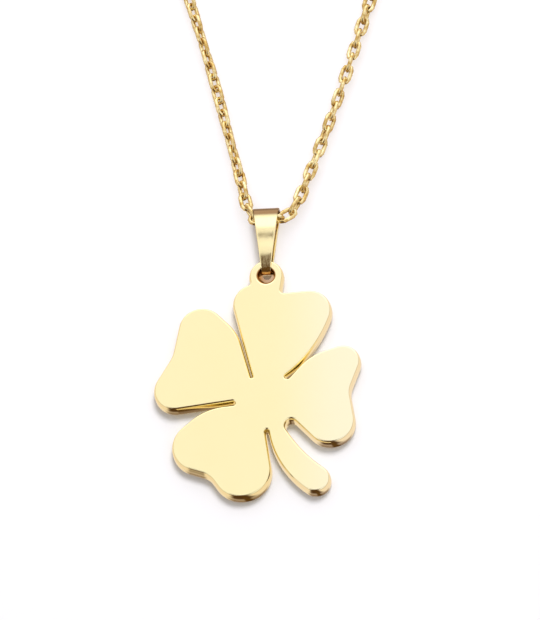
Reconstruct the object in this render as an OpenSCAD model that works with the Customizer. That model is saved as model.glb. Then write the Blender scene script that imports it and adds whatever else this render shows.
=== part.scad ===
// Clover pendant on a fine cable chain, lying on a flat surface.
// Millimetres. Z is up and z = 0 is the surface it lies on. The origin is on that
// surface, below the place where the chain runs through the bail. The clover
// points along -Y and the loop of the chain opens along +Y.

/* [Clover] */
// Reach of the leaves, from the middle of the clover
leaf_reach = 15; // [12:0.5:19]
// Distance of the inner ends of the gaps, from the middle of the clover
hub_reach = 4.5; // [4:0.1:5]
// Distance of the round end of the stem, from the middle of the clover
stem_reach = 13; // [11:0.5:16]
// Radius of the round end of the stem
stem_end_r = 1.85; // [1.4:0.05:2.1]
// Thickness of the plate
plate_t = 1.8; // [1.2:0.1:2.4]
// Rounding of the plate's edges
edge_r = 0.22; // [0.1:0.02:0.3]

/* [Ring on the clover] */
// Distance of the ring's centre beyond the reach of the leaves
ring_gap = 3.6; // [2.8:0.1:4.6]
// Outer radius of the ring
ring_r = 2.2; // [2:0.05:2.6]
// Radius of the hole in the ring
ring_hole_r = 1.22; // [1.1:0.02:1.4]

/* [Bail] */
// Length of the folded strap, from end to end
bail_l = 10.3; // [8:0.1:14]
// Width of the strap at its top fold
bail_top_w = 3.65; // [3:0.05:5]
// Width of the strap at its foot, in the ring
bail_foot_w = 1.05; // [0.7:0.05:1.2]
// Thickness of the strap
bail_t = 0.42; // [0.3:0.02:0.5]
// Play of the plate and of the chain between the two straps, on each side
bail_play = 0.1; // [0.08:0.01:0.2]

/* [Chain] */
// Length of the whole necklace, with its clasp
necklace_l = 450; // [400:5:500]
// Length of one link
link_l = 2.9; // [2.8:0.05:3.4]
// Width of one link
link_w = 1.6; // [1.5:0.05:1.8]
// Diameter of the wire of a link
link_wire_d = 0.42; // [0.34:0.02:0.44]
// Play between two links, along the chain
link_play = 0.14; // [0.12:0.01:0.2]
// Twist of the links on the left, away from the bail
left_twist = 45; // [0:5:60]

/* [Clasp and end ring] */
// Outer diameter of the clasp's ring
clasp_d = 5.5; // [5:0.1:7]
// Diameter of the clasp's tube
clasp_tube_d = 0.95; // [0.8:0.05:1.1]
// Outer diameter of the eye on the clasp
eye_d = 2.3; // [2.2:0.1:2.8]
// Outer diameter of the end ring
end_ring_d = 3.8; // [3.6:0.1:4.6]
// Diameter of the wire of the end ring and of the clasp's eye
ring_wire_d = 0.5; // [0.4:0.05:0.6]
// Roll of the end ring about the run of the chain
end_ring_roll = 50; // [45:1:55]

/* [Hidden] */
$fn = 48;
GOLD = [0.93, 0.77, 0.42];
CHAIN_GOLD = [0.85, 0.66, 0.32];

// The clover's outline runs anticlockwise round circles and straight from one to
// the next. A row is one circle: the angle and the distance of its centre from the
// middle of the clover, and its radius. A lobe or a bulging side has a radius
// above zero, and a notch or the end of a gap has one below zero.
// Distances and radii of the leaves are shares of leaf_reach.
RIGHT_LEAF = [
    [-18.9, 0.604, 0.213],   // lower lobe
    [3.8, 0.977, -0.227],    // notch
    [28.4, 0.782, 0.150],    // upper lobe
    [-1.0, 0.688, 0.517],    // upper side
];
TOP_LEAF_RIGHT = [[66.3, 0.960, 0.195]];
TOP_LEAF_LEFT = [[96.3, 0.976, 0.187]];
LEFT_LEAF = [
    [142.9, 0.807, 0.417],   // side towards the top leaf
    [128.4, 0.945, 0.200],   // upper lobe
    [152.2, 1.291, -0.317],  // notch
    [169.0, 0.832, 0.190],   // lower lobe
];
FOOT_LEAF = [
    [238.8, 0.650, 0.533],   // upper side
    [213.0, 0.724, 0.233],   // left lobe
    [233.0, 1.040, -0.185],  // notch
    [251.0, 0.680, 0.255],   // lower lobe
];
// Ends of the gaps, as shares of hub_reach
GAP_RIGHT_TOP = [[52.4, 1.037, -0.090]];
GAP_TOP_LEFT = [[117.3, 0.963, -0.050]];
GAP_LEFT_FOOT = [[179.0, 1.008, -0.078]];
GAP_FOOT_STEM = [[271.1, 0.942, -0.078]];
GAP_STEM_RIGHT = [[-45.5, 1.070, -0.211]];
// Nook on the ring's right, from the ring's centre and as shares of ring_r
RIGHT_NOOK = [[-41.1, 1.484, -0.252]];
STEM_END_ANGLE = -59.6;
// Radii of the blends from one circle to the next, above zero for a bulge and below
// zero for a hollow: the nook on the ring's left as a share of ring_r, the top leaf's
// lower side as one of leaf_reach, and both sides of the stem as shares of stem_reach
LEFT_NOOK = -0.273;
TOP_SIDE = 1.2;
STEM_OUTER = 1;
STEM_INNER = -1.5;
// Short straight that is left at both ends of a blend, as the gap between the circles
BLEND_HAIR = 0.005;

// Longest straight step along an arc of the outline, and widest turn in one step
ARC_STEP = 0.9;
ARC_TURN = 15;
// Steps across the rounding of an edge
EDGE_STEPS = 3;

// How the clover hangs in the bail: 0 is pushed up and 1 is pulled down
HANG = 0.9;
// Gap between the clover's back and the strap that it lies on
REST_GAP = 0.05;

// Route of the chain, seen from above, from the bail round the left and the back.
// It is stretched to the length of the necklace.
ROUTE = [
    [0, 0], [-1.7, -0.1], [-2.75, 2.1], [-3.1, 3.6], [-3.6, 6], [-5, 11.8], [-7.4, 21.7], [-10.2, 32],
    [-19, 62], [-29.5, 95], [-38, 126], [-41, 148], [-35, 171], [-19, 187],
    [0, 191.5],
    [20, 187], [37, 172], [44, 149], [42, 126], [34, 96], [23.6, 63], [14.1, 32], [9.8, 18],
    [7.9, 12.3], [6.1, 7.4], [4.9, 4.1], [4.2, 2.2], [3.5, 0.9], [2.5, 0.05], [1.2, 0],
];
// Samples of the route between two of its points
ROUTE_STEPS = 10;
// Where the two halves of the chain meet inside the bail, along the route
CHAIN_SHIFT = 0.03;
// Links from the meeting place to the bail's edge, and links over which the height
// and the twist of the chain change
BAIL_LINKS = 0.6;
RISE_LINKS = 4.5;
TWIST_LINKS = 5;
// Links over which the hinge points move from the ends of the links on edge to
// half way between two links
HINGE_LINKS = 12;
// Angle of the clasp's thumb piece from the run of the chain
THUMB_ANGLE = 60;

function lerp(a, b, t) = a + (b - a) * t;
function ramp(t) = let (c = min(1, max(0, t))) c * c * (3 - 2 * c);

// A table of circles, turned from angle and shares into [x, y, radius]
function circles(table, reach) =
    [for (row = table) [reach * row[1] * cos(row[0]), reach * row[1] * sin(row[0]), reach * row[2]]];

// A blend between two circles, a and then b: its centre is as far from each of theirs
// as the radii differ, on the right of the way for a hollow and on the left for a bulge
function blend(a, b, radius) =
    let (
        d = [b[0] - a[0], b[1] - a[1]],
        l = norm(d),
        from_a = abs(radius - a[2]) + BLEND_HAIR,
        from_b = abs(radius - b[2]) + BLEND_HAIR,
        along = (pow(from_a, 2) - pow(from_b, 2) + l * l) / (2 * l),
        beside = -sign(radius) * sqrt(pow(from_a, 2) - along * along)
    )
    [a[0] + (d[0] * along + d[1] * beside) / l, a[1] + (d[1] * along - d[0] * beside) / l, radius];

// Two circles with a blend between them, as the blend and the second circle
function blended(a, b, radius) = [blend(a, b, radius), b];

ring_reach = leaf_reach + ring_gap;
RING = [0, ring_reach, ring_r];
STEM_END = [stem_reach * cos(STEM_END_ANGLE), stem_reach * sin(STEM_END_ANGLE), stem_end_r];

OUTLINE = concat(
    blended(STEM_END, circles(GAP_STEM_RIGHT, hub_reach)[0], STEM_INNER * stem_reach),
    circles(RIGHT_LEAF, leaf_reach),
    circles(GAP_RIGHT_TOP, hub_reach),
    blended(
        circles(GAP_RIGHT_TOP, hub_reach)[0], circles(TOP_LEAF_RIGHT, leaf_reach)[0], TOP_SIDE * leaf_reach
    ),
    [for (c = circles(RIGHT_NOOK, ring_r)) c + [0, ring_reach, 0]],
    [RING],
    blended(RING, circles(TOP_LEAF_LEFT, leaf_reach)[0], LEFT_NOOK * ring_r),
    circles(GAP_TOP_LEFT, hub_reach),
    circles(LEFT_LEAF, leaf_reach),
    circles(GAP_LEFT_FOOT, hub_reach),
    circles(FOOT_LEAF, leaf_reach),
    circles(GAP_FOOT_STEM, hub_reach),
    blended(circles(GAP_FOOT_STEM, hub_reach)[0], STEM_END, STEM_OUTER * stem_reach)
);

// Heading of the straight stretch that touches circle a and then circle b
function heading(a, b) =
    let (dx = b[0] - a[0], dy = b[1] - a[1])
    atan2(dy, dx) + asin(max(-1, min(1, (a[2] - b[2]) / norm([dx, dy]))));

// Turn from one heading to the next: left round a bulge and right round a notch
function turn(from, to, radius) =
    let (left = (to - from + 720) % 360)
    radius > 0 ? left : left - 360;

// Points of the outline as [x, y, outward x, outward y], along arcs and straights
function outline_points(rows) =
    let (n = len(rows))
    [for (i = [0 : n - 1])
        let (
            before = rows[(i + n - 1) % n],
            here = rows[i],
            after = rows[(i + 1) % n],
            start = heading(before, here),
            sweep = turn(start, heading(here, after), here[2]),
            arc_l = abs(sweep * here[2]) * PI / 180,
            steps = max(1, ceil(arc_l / ARC_STEP), ceil(abs(sweep) / ARC_TURN))
        )
        for (k = [0 : steps])
            let (a = start + sweep * k / steps)
            [here[0] + here[2] * sin(a), here[1] - here[2] * cos(a), sin(a), -cos(a)]];

// Triangles that fill a polygon of points, cut off one by one as ears: corners that
// turn left and hold no hollow corner of the rest. Each is a list of three indices.
function ears(points) =
    let (
        n = len(points),
        hollow = [for (i = [0 : n - 1])
            if (cross(points[i] - points[(i + n - 1) % n], points[(i + 1) % n] - points[i]) <= 0) i]
    )
    [for (left = [for (i = [0 : n - 1]) i], at = next_ear(points, left, hollow, 0);
        len(left) > 2;
        left = [for (i = [0 : len(left) - 1]) if (i != at) left[i]],
        at = next_ear(points, left, hollow, at))
        corner(left, at)];

// Indices of a corner with its two neighbours
function corner(left, at) =
    let (n = len(left))
    [left[(at + n - 1) % n], left[at % n], left[(at + 1) % n]];

// Place of the next corner that is an ear
function next_ear(points, left, hollow, at, tries = 0) =
    let (n = len(left))
    tries >= n || is_ear(points, corner(left, at), hollow) ? at % n
    : next_ear(points, left, hollow, at + 1, tries + 1);

function is_ear(points, ids, hollow) =
    let (a = points[ids[0]], b = points[ids[1]], c = points[ids[2]])
    cross(b - a, c - b) > 0
    && len([for (i = hollow)
        let (p = points[i])
        if (p != a && p != b && p != c && cross(b - a, p - a) >= 0 && cross(c - b, p - b) >= 0
            && cross(a - c, p - c) >= 0) i]) == 0;

// Rings of the plate from its back to its face: [inset from the outline, height]
EDGE_RINGS = concat(
    [for (k = [0 : EDGE_STEPS])
        let (a = 90 * k / EDGE_STEPS) [edge_r * (1 - sin(a)), edge_r * (1 - cos(a))]],
    [for (k = [0 : EDGE_STEPS])
        let (a = 90 * k / EDGE_STEPS) [edge_r * (1 - cos(a)), plate_t - edge_r * (1 - sin(a))]]
);

// The strap's two bends and the hollow between the straps
bail_in_r = max(plate_t, link_w) / 2 + bail_play;
bail_out_r = bail_in_r + bail_t;
bail_foot_y = -(bail_l - 2 * bail_out_r);

// The ring's hole clears the foot bend at both ends of its free play. Pulled down, the
// rounded edge of the hole's back meets the inside of the bend.
hole_chord = sqrt(pow(ring_hole_r, 2) - pow(bail_foot_w / 2, 2));
foot_reach = edge_r + sqrt(REST_GAP * (2 * (bail_in_r - edge_r) - REST_GAP));
ring_y = bail_foot_y + lerp(hole_chord - bail_out_r, -hole_chord - foot_reach, HANG);
clover_y = ring_y - ring_reach;

// The clover's flat back meets the surface at its foot, and its ring lies on the
// lower strap
clover_points = outline_points(OUTLINE);
clover_foot_y = min([for (p = clover_points) p[1]]) + edge_r;
clover_tilt = asin((bail_t + REST_GAP) / (bail_foot_y - (clover_y + clover_foot_y)));

// Hermite curve through the route's points, with slopes from both neighbours
function route_slope(i) =
    let (
        n = len(ROUTE),
        back = ROUTE[i] - ROUTE[(i + n - 1) % n],
        ahead = ROUTE[(i + 1) % n] - ROUTE[i],
        lb = norm(back),
        la = norm(ahead)
    )
    (back * la / lb + ahead * lb / la) / (la + lb);

function route_point(i, t) =
    let (
        j = (i + 1) % len(ROUTE),
        l = norm(ROUTE[j] - ROUTE[i])
    )
    ROUTE[i] * (2 * t * t * t - 3 * t * t + 1) + route_slope(i) * l * (t * t * t - 2 * t * t + t)
    + ROUTE[j] * (3 * t * t - 2 * t * t * t) + route_slope(j) * l * (t * t * t - t * t);

ROUTE_CURVE = [for (i = [0 : len(ROUTE) - 1]) for (k = [0 : ROUTE_STEPS - 1])
    route_point(i, k / ROUTE_STEPS)];

// Length along the curve up to each of its samples, and back to the start
function run_lengths(curve) =
    [for (i = 0, s = 0; i <= len(curve);
        s = s + norm(curve[(i + 1) % len(curve)] - curve[i % len(curve)]), i = i + 1) s];

RUN = run_lengths(ROUTE_CURVE);
ROUTE_X = [for (i = [0 : len(RUN) - 1]) [RUN[i], ROUTE_CURVE[i % len(ROUTE_CURVE)][0]]];
ROUTE_Y = [for (i = [0 : len(RUN) - 1]) [RUN[i], ROUTE_CURVE[i % len(ROUTE_CURVE)][1]]];

// Pitch of the links, and the radii of the wires' centre lines
pitch = link_l - 2 * link_wire_d - link_play;
link_bend = (link_w - link_wire_d) / 2;
clasp_r = (clasp_d - clasp_tube_d) / 2;
eye_r = (eye_d - ring_wire_d) / 2;
end_ring_r = (end_ring_d - ring_wire_d) / 2;

// Places of the eye, the clasp and the end ring along the stretch that they close
ring_grip = (ring_wire_d + link_play) / 2;
eye_u = eye_r - ring_grip;
clasp_u = eye_u + eye_r + clasp_r;
end_ring_u = clasp_u + clasp_r - (clasp_tube_d + ring_wire_d) / 2 - link_play + end_ring_r;
closing_l = end_ring_u + end_ring_r - ring_grip;

// Whole links that fit in the rest, and the route's stretch to that length
half_links = floor((necklace_l - closing_l) / pitch / 2);
loop_l = 2 * half_links * pitch + closing_l;
route_scale = loop_l / RUN[len(RUN) - 1];

// A place on the route, s millimetres from the bail round the left
function on_route(s) =
    let (t = ((s / loop_l + 1) % 1) * RUN[len(RUN) - 1])
    [route_scale * lookup(t, ROUTE_X), route_scale * lookup(t, ROUTE_Y)];

// Twist of the kth link from the bail: none there, then the run's own, and over the
// back half of the run it changes until the last link has the given roll
function link_twist(side, k) =
    let (
        run = side > 0 ? left_twist : 0,
        last = (side > 0 ? 90 : 90 - end_ring_roll) - first_roll(side) - 90 * (half_links - 1),
        end = last - 180 * round((last - run) / 180),
        back = max(0, 2 * (k + 1) / half_links - 1)
    )
    lerp(run * min(1, k / TWIST_LINKS), end, back);

// Roll of the link next to the bail's middle: level on the left, on edge on the right
function first_roll(side) = side > 0 ? 0 : 90;
function link_roll(side, k) = first_roll(side) + 90 * k + link_twist(side, k);

// Height of the chain's middle where it lies on the surface, with the links twisted
function lying_z(twist) = link_bend * max(abs(sin(twist)), abs(cos(twist))) + link_wire_d / 2;

// Heights at which the chain is carried: in the bail, and at both ends of the closing
bail_z = bail_out_r;
closing_z = lying_z(0);
end_ring_z = end_ring_r * sin(end_ring_roll) + ring_wire_d / 2;
function held_z(side) = side > 0 ? closing_z : lerp(closing_z, end_ring_z, closing_l / end_ring_u);

// The chain bends at the ends of the links that stand on edge, where it leaves the bail
function hinge_shift(side, k) =
    side * (k % 2 == 0 ? 1 : -1) * (link_wire_d + link_play) / 2 * max(0, 1 - k / HINGE_LINKS);

// A place on the chain, k links from the bail, on the left (side 1) or right (-1)
function chain_place(side, k) =
    let (
        p = on_route(CHAIN_SHIFT + side * (k * pitch + hinge_shift(side, k))),
        low = lying_z(link_twist(side, k)),
        at_bail = ramp(1 - (k - BAIL_LINKS) / RISE_LINKS),
        at_closing = ramp(1 - (half_links - k) / RISE_LINKS)
    )
    [p[0], p[1], low + (bail_z - low) * at_bail + (held_z(side) - low) * at_closing];

module clover() {
    n = len(clover_points);
    rings = len(EDGE_RINGS);
    cap = ears([for (p = clover_points) [p[0] - p[2] * edge_r, p[1] - p[3] * edge_r]]);
    color(GOLD)
    translate([0, clover_y + clover_foot_y, 0])
    rotate([clover_tilt, 0, 0])
    translate([0, -clover_foot_y, 0])
    difference() {
        polyhedron(
            points = [for (ring = EDGE_RINGS) for (p = clover_points)
                [p[0] - p[2] * ring[0], p[1] - p[3] * ring[0], ring[1]]],
            faces = concat(
                cap,
                [for (j = [0 : rings - 2]) for (i = [0 : n - 1])
                    let (k = (i + 1) % n)
                    [j * n + k, j * n + i, (j + 1) * n + i, (j + 1) * n + k]],
                [for (t = cap) [t[2], t[1], t[0]] + [1, 1, 1] * (rings - 1) * n]
            ),
            convexity = 10
        );
        translate([0, ring_reach, 0]) ring_hole();
    }
}

// The hole through the ring, flared at both faces by the rounding of the edges
module ring_hole() {
    rotate_extrude()
    difference() {
        translate([0, -plate_t]) square([ring_hole_r + edge_r, 3 * plate_t]);
        translate([ring_hole_r + edge_r, edge_r]) circle(r = edge_r);
        translate([ring_hole_r + edge_r, plate_t - edge_r]) circle(r = edge_r);
        translate([ring_hole_r, edge_r]) square([2 * edge_r, plate_t - 2 * edge_r]);
    }
}

// A strap folded round the chain and through the ring, tapered towards its foot
module bail() {
    color(GOLD)
    intersection() {
        translate([-bail_top_w, 0, bail_z])
        rotate([90, 0, 90])
        linear_extrude(2 * bail_top_w)
        difference() {
            strap_loop(bail_out_r);
            strap_loop(bail_in_r);
        }
        linear_extrude(3 * bail_out_r)
        polygon([
            [-bail_foot_w / 2, bail_foot_y - bail_out_r],
            [bail_foot_w / 2, bail_foot_y - bail_out_r],
            [bail_top_w / 2, bail_out_r],
            [-bail_top_w / 2, bail_out_r],
        ]);
    }
}

// Side view of the bail: two bends of one radius and the flat straps between
module strap_loop(r) {
    circle(r = r);
    translate([bail_foot_y, 0]) circle(r = r);
    translate([bail_foot_y, -r]) square([-bail_foot_y, 2 * r]);
}

// One oval link, flat, with its length along X
module link() {
    straight = link_l - link_w;
    for (end = [-1, 1]) {
        translate([end * straight / 2, 0, 0])
        rotate([0, 0, end * 90 - 180])
        rotate_extrude(angle = 180)
        translate([link_bend, 0]) circle(d = link_wire_d);
    }
    for (side = [-1, 1]) {
        translate([-straight / 2, side * link_bend, 0])
        rotate([0, 90, 0])
        cylinder(d = link_wire_d, h = straight);
    }
}

// A link or ring set between two places, rolled about the line through them
module between(a, b, roll) {
    d = b - a;
    translate((a + b) / 2)
    rotate([0, -asin(d[2] / norm(d)), atan2(d[1], d[0])])
    rotate([roll, 0, 0])
    children();
}

module chain_half(side) {
    color(CHAIN_GOLD)
    for (k = [0 : half_links - 1])
        between(chain_place(side, k), chain_place(side, k + 1), link_roll(side, k)) link();
}

module chain_left() {
    chain_half(1);
}

module chain_right() {
    chain_half(-1);
}

// Sets a ring on the closing stretch, u millimetres from the left half of the chain
module on_closing(u, roll) {
    between(chain_place(1, half_links), chain_place(-1, half_links), roll)
    translate([u - closing_l / 2, 0, 0])
    children();
}

module round_ring(r, wire_d) {
    rotate_extrude() translate([r, 0]) circle(d = wire_d);
}

// A closed ring clasp in one piece, with its eye and its thumb piece
module clasp() {
    color(GOLD) {
        on_closing(eye_u, 0) round_ring(eye_r, ring_wire_d);
        on_closing(clasp_u, 0) {
            round_ring(clasp_r, clasp_tube_d);
            rotate([0, 90, THUMB_ANGLE])
            translate([0, 0, clasp_r])
            cylinder(d = clasp_tube_d / 2, h = clasp_tube_d);
        }
    }
}

module end_ring() {
    color(GOLD) on_closing(end_ring_u, end_ring_roll) round_ring(end_ring_r, ring_wire_d);
}

clover();
bail();
chain_left();
chain_right();
clasp();
end_ring();
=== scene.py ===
"""Looks of a four leaf clover pendant that lies on a pale floor with its fine cable chain.

Everything is in metres, in the frame of the CAD part: +Z is up from the surface, -Y runs from
the bail along the clover to its foot, and the loop of the chain opens along +Y. Each piece is a
surface worked out with numpy from the same sizes and places as the solid that it replaces.
"""

import math

import bpy
import numpy as np
from bpy.props import FloatProperty, FloatVectorProperty, PointerProperty
from mathutils import Matrix, Vector
from mathutils.geometry import tessellate_polygon


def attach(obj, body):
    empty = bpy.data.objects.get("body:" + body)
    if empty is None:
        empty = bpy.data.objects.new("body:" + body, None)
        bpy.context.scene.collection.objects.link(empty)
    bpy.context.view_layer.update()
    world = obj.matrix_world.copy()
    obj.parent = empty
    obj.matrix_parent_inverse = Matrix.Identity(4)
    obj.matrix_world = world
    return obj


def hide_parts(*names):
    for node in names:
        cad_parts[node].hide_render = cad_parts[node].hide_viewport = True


bl_info = {
    "name": "Clover pendant",
    "version": (1, 0, 0),
    "blender": (4, 5, 0),
    "location": "View3D > Sidebar > Clover pendant",
    "description": "Builds a clover pendant with its bail, chain and clasp, and the stage they lie on",
    "category": "Object",
}

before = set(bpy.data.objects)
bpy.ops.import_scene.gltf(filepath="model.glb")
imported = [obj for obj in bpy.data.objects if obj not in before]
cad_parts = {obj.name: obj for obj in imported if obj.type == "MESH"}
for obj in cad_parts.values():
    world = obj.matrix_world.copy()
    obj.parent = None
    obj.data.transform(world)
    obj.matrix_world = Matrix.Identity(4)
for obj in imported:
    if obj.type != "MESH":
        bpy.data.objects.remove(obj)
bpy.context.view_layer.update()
MM = 0.001

# The clover's outline, anticlockwise. The row of a circle has the reach that it is measured by,
# the angle of its centre from the middle of the clover, and its distance and radius as shares of
# that reach. A notch or the end of a gap has a radius below zero. The rows of the ring are
# measured from the ring's centre. The row of a blend has the reach and the share of its radius,
# and the blend touches the circles before and after it.
OUTLINE = [
    ("blend", "stem", -1.5),
    ("hub", -45.5, 1.070, -0.211),
    ("leaf", -18.9, 0.604, 0.213),
    ("leaf", 3.8, 0.977, -0.227),
    ("leaf", 28.4, 0.782, 0.150),
    ("leaf", -1.0, 0.688, 0.517),
    ("hub", 52.4, 1.037, -0.090),
    ("blend", "leaf", 1.2),
    ("leaf", 66.3, 0.960, 0.195),
    ("ring", -41.1, 1.484, -0.252),
    ("ring", 0, 0, 1.0),
    ("blend", "ring", -0.273),
    ("leaf", 96.3, 0.976, 0.187),
    ("hub", 117.3, 0.963, -0.050),
    ("leaf", 142.9, 0.807, 0.417),
    ("leaf", 128.4, 0.945, 0.200),
    ("leaf", 152.2, 1.291, -0.317),
    ("leaf", 169.0, 0.832, 0.190),
    ("hub", 179.0, 1.008, -0.078),
    ("leaf", 238.8, 0.650, 0.533),
    ("leaf", 213.0, 0.724, 0.233),
    ("leaf", 233.0, 1.040, -0.185),
    ("leaf", 251.0, 0.680, 0.255),
    ("hub", 271.1, 0.942, -0.078),
    ("blend", "stem", 1.0),
    ("stem end", -59.6, 1.0, 1.0),
]
BLEND_HAIR = 0.005 * MM

# Route of the chain from above, in millimetres, from the bail round the left and the back. It is
# stretched to the length of the necklace.
ROUTE = np.array([
    [0, 0], [-1.7, -0.1], [-2.75, 2.1], [-3.1, 3.6], [-3.6, 6], [-5, 11.8], [-7.4, 21.7], [-10.2, 32],
    [-19, 62], [-29.5, 95], [-38, 126], [-41, 148], [-35, 171], [-19, 187],
    [0, 191.5],
    [20, 187], [37, 172], [44, 149], [42, 126], [34, 96], [23.6, 63], [14.1, 32], [9.8, 18],
    [7.9, 12.3], [6.1, 7.4], [4.9, 4.1], [4.2, 2.2], [3.5, 0.9], [2.5, 0.05], [1.2, 0],
])
ROUTE_STEPS = 10

# How the pieces lie in each other, as in the solids
HANG = 0.9
REST_GAP = 0.05 * MM
CHAIN_SHIFT = 0.03 * MM
BAIL_LINKS, RISE_LINKS, TWIST_LINKS, HINGE_LINKS = 0.6, 4.5, 5, 12

# Steps of the surfaces
EDGE_STEPS = 10
HOLE_POINTS = 72
STRAIGHT_POINTS, BEND_POINTS = 49, 31
CORNER_POINTS, FLAT_POINTS = 6, 5
LINK_END_POINTS, LINK_SIDES = 5, 6
OUTLINE_TURN = math.radians(7)

# The links' unrest is a sine with a step for each link, and grows over the first few. The rolled
# stretch eases in and out.
UNREST_STEP, UNREST_SHIFT, UNREST_LINKS = 2.4, 0.3, 3
ROLLED_FROM, ROLLED_TO, ROLLED_EASE = 5, 13, 2

# The thumb piece. Its heights are shares of the tube's diameter, and its radii of a quarter of it.
THUMB_ANGLE = math.radians(60)
THUMB_HEIGHT = (0, 0.55, 0.6, 0.7, 0.85, 0.95, 1.0)
THUMB_RADIUS = (1, 1, 1.15, 1.3, 1.2, 0.75, 0.02)
THUMB_POINTS = 20

# Where the painted reflection pales the clover along X, the painted dark reflection browns the bail's fold
# along Y, and the painted shade in the ring's hole begins
PALE_REFLECTION_FROM, PALE_REFLECTION_TO = 0.0, 11 * MM
FOLD_REFLECTION_FROM, FOLD_REFLECTION_TO = -0.3 * MM, 0.15 * MM
HOLE_REACH, HOLE_RIM = 0.03 * MM, 0.13 * MM
WAVE_DEPTH = 0.012 * MM

# The surroundings. Each pair is two cosines to a direction: a zone starts at the first and is
# full from the second on. A tilt leans a zone's middle plane to the front and up.
BRIGHT_HEIGHT = math.radians(35)
BRIGHT_EDGE = math.cos(math.radians(31)), math.cos(math.radians(22))
SIDES_EDGE = -math.sin(math.radians(30)), -math.sin(math.radians(10))
SIDES_BACK = -0.8, -0.4
COLUMN_TILT = 0.35, 0.1
COLUMN_RIGHT, COLUMN_LEFT = (0.5, 0.25), (-0.62, -0.36)
COLUMN_FRONT, COLUMN_FOOT = (0.28, 0.45), (-0.86, -0.70)
STRIP_TILT = 0.231, 0.097
STRIP_RIGHT, STRIP_LEFT = (0.13, 0.085), (-0.13, -0.085)
STRIP_BACK, STRIP_FRONT = (-0.30, -0.24), (0.97, 0.85)
BELOW_EDGE, BELOW_FRONT, BELOW_STEEP = (0.0, 0.05), (-0.05, 0.15), (0.86, 0.9)

# Places on the stage
FLOOR_Z = -0.02 * MM
LAMP_PLACE, LAMP_AIM = Vector((0.11, 0.33, 0.68)), Vector((0, -0.014, 0))
CAMERA_AIM = Vector((0.517, -13.985, 1.9)) * MM
SENSOR_MM = 24

UP = (0, 0, 1)
DOWN = (0, 0, -1)


def length(name, default_mm, description):
    """A length in metres, given in millimetres."""
    return FloatProperty(
        name=name, description=description, default=default_mm * MM, min=0, unit="LENGTH", precision=5
    )


def angle(name, default_degrees, description):
    """An angle in radians, given in degrees."""
    return FloatProperty(
        name=name, description=description, default=math.radians(default_degrees), subtype="ANGLE"
    )


def amount(name, default, description, **settings):
    """A number of zero or more."""
    return FloatProperty(name=name, description=description, default=default, min=0, **settings)


def shade(name, default, description):
    """A colour, as linear red, green and blue."""
    return FloatVectorProperty(
        name=name, description=description, default=default, min=0, max=1, size=3, subtype="COLOR"
    )


class PendantSizes(bpy.types.PropertyGroup):
    """Sizes of the clover and of its ring."""

    leaf_reach: length("Leaf reach", 15, "Reach of the leaves from the middle of the clover")
    hub_reach: length("Hub reach", 4.5, "Distance of the inner ends of the gaps from the middle")
    stem_reach: length("Stem reach", 13, "Distance of the stem's round end from the middle")
    stem_end_r: length("Stem end radius", 1.85, "Radius of the round end of the stem")
    plate_t: length("Plate thickness", 1.8, "Thickness of the plate")
    edge_r: length("Edge rounding", 0.22, "Height of the rounding of the plate's edges")
    edge_w: length("Edge width", 0.36, "Width of the polished-down rounding, seen from above")
    edge_h: length("Edge height", 1.25, "Height of the polished-down rounding of the face")
    burr: length("Burr", 0.19, "How far the polishing pushes the wall out beyond the outline")
    ring_gap: length("Ring gap", 3.6, "Distance of the ring's centre beyond the reach of the leaves")
    ring_r: length("Ring radius", 2.2, "Outer radius of the ring")
    ring_hole_r: length("Hole radius", 1.22, "Radius of the hole in the ring")
    hole_taper: length("Hole taper", 0.68, "How much smaller the hole's radius is at the plate's back")
    outline_step: length("Outline step", 0.16, "Longest step along an arc of the outline")


class BailSizes(bpy.types.PropertyGroup):
    """Sizes of the folded strap."""

    bail_l: length("Bail length", 10.3, "Length of the folded strap from end to end")
    top_w: length("Top width", 3.65, "Width of the strap at its top fold")
    foot_w: length("Foot width", 1.05, "Width of the strap at its foot, in the ring")
    strap_t: length("Strap thickness", 0.42, "Thickness of the strap")
    play: length("Play", 0.1, "Play of the plate and of the chain between the straps")
    corner_r: length("Edge rounding", 0.11, "Rounding of the strap's edges")
    foot_thin: length("Foot thinning", 0.21, "How much thinner the upper strap is at its foot bend")
    foot_from: length("Thinning from", 5.55, "Distance of the start of the thinning from the chain")
    run_out: length("Run-out", 0.75, "Length over which the thinning starts and ends")
    crown_t: length("Crown height", 0.12, "Height of the soft crown of the upper strap")
    crown_y: length("Crown place", 2.15, "Distance of the crown from the chain")
    crown_l: length("Crown length", 1.95, "Half the length of the crown")


class ChainSizes(bpy.types.PropertyGroup):
    """Sizes of the chain, the clasp and the end ring."""

    necklace_l: length("Necklace length", 450, "Length of the whole necklace with its clasp")
    link_l: length("Link length", 2.9, "Length of one link")
    link_w: length("Link width", 1.6, "Width of one link")
    wire_d: length("Link wire", 0.42, "Diameter of the wire of a link, for the lay of the chain")
    plated_d: length("Plated wire", 0.60, "Diameter of the wire of a link with its plating and burr")
    belly: amount("Belly", 0.05, "Share by which a link is wider at its middle")
    link_play: length("Link play", 0.14, "Play between two links along the chain")
    unrest: angle("Unrest", 11, "Most that a link is rolled out of its place")
    rolled: angle("Rolled stretch", 38, "Roll of a short stretch of the right side")
    left_twist: angle("Left twist", 45, "Twist of the links on the left, away from the bail")
    clasp_d: length("Clasp diameter", 5.5, "Outer diameter of the clasp's ring")
    clasp_tube_d: length("Clasp tube", 0.95, "Diameter of the clasp's tube")
    eye_d: length("Eye diameter", 2.3, "Outer diameter of the eye on the clasp")
    end_ring_d: length("End ring diameter", 3.8, "Outer diameter of the end ring")
    ring_wire_d: length("Ring wire", 0.5, "Diameter of the wire of the end ring and of the eye")
    end_ring_roll: angle("End ring roll", 50, "Roll of the end ring about the run of the chain")


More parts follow.
